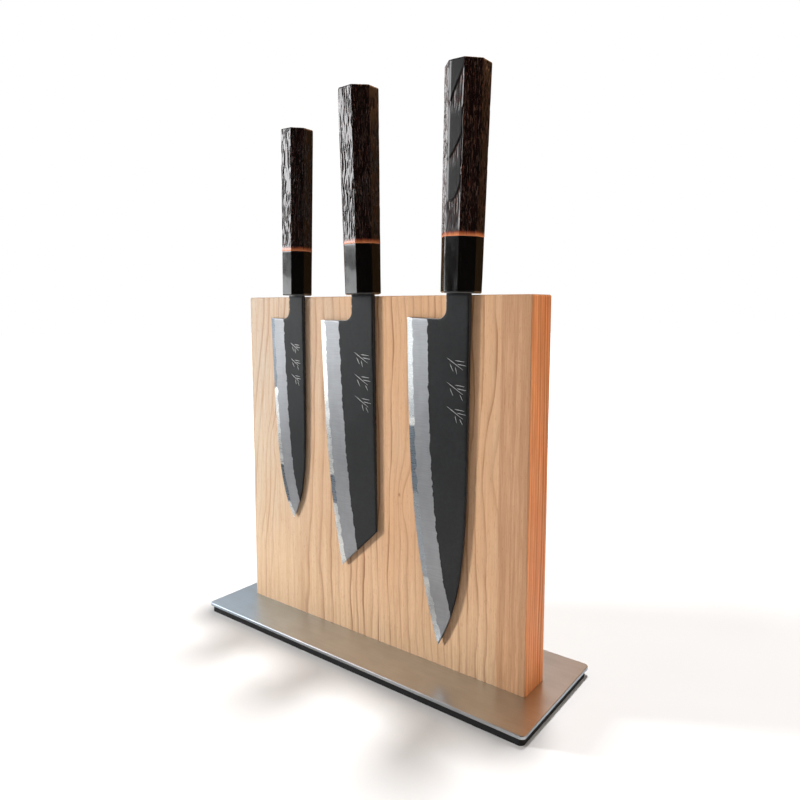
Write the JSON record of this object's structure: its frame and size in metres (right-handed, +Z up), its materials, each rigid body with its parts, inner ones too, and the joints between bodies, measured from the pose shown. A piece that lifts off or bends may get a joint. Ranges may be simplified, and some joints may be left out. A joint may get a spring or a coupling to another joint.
{
  "type": "magnetic knife block with knives",
  "caption": "Upright wooden magnetic knife block on a steel base, with kitchen knives held by their blades against the front face.",
  "frame": {"origin": "centre of the underside of the rubber pad", "axes": "+Z up, +X along the block to the right seen from the front; the knives hang on the face that looks along -Y"},
  "size_m": [0.275, 0.093, 0.3808],
  "materials": {
    "oak_wood": "oiled, satin",
    "plate_steel": "fine brushed",
    "pad_rubber": "matte",
    "zinc_steel": "zinc plated",
    "insert_brass": "machined",
    "magnet_nickel": "nickel plated",
    "keeper_steel": "bright mill",
    "blade_steel": "black forge scale with ground bevels",
    "ferrule_black": "polished",
    "burnt_wood": "charred and brushed",
    "dowel_wood": "plain"
  },
  "bodies": {
    "stand": {"base_pad": "pad_rubber", "base_plate": "plate_steel", "base_screws": "zinc_steel", "threaded_inserts": "insert_brass", "stave_front_wide": "oak_wood", "stave_front_strip": "oak_wood", "magnets_front_lower": "magnet_nickel", "keeper_front_lower": "keeper_steel", "magnets_front_upper": "magnet_nickel", "keeper_front_upper": "keeper_steel", "stave_rear_wide": "oak_wood", "stave_rear_strip": "oak_wood", "magnets_rear_lower": "magnet_nickel", "keeper_rear_lower": "keeper_steel", "magnets_rear_upper": "magnet_nickel", "keeper_rear_upper": "keeper_steel"},
    "petty": {"petty_blade": "blade_steel", "petty_ferrule": "ferrule_black", "petty_dowel": "dowel_wood", "petty_handle": "burnt_wood"},
    "bunka": {"bunka_blade": "blade_steel", "bunka_ferrule": "ferrule_black", "bunka_dowel": "dowel_wood", "bunka_handle": "burnt_wood"},
    "gyuto": {"gyuto_blade": "blade_steel", "gyuto_ferrule": "ferrule_black", "gyuto_dowel": "dowel_wood", "gyuto_handle": "burnt_wood"}
  },
  "joints": [
    {"name": "petty_pull_off", "type": "slide", "parent": "stand", "child": "petty", "axis": [0, -1, 0], "range_m": [0, 0.12]},
    {"name": "bunka_pull_off", "type": "slide", "parent": "stand", "child": "bunka", "axis": [0, -1, 0], "range_m": [0, 0.12]},
    {"name": "gyuto_pull_off", "type": "slide", "parent": "stand", "child": "gyuto", "axis": [0, -1, 0], "range_m": [0, 0.12]}
  ]
}
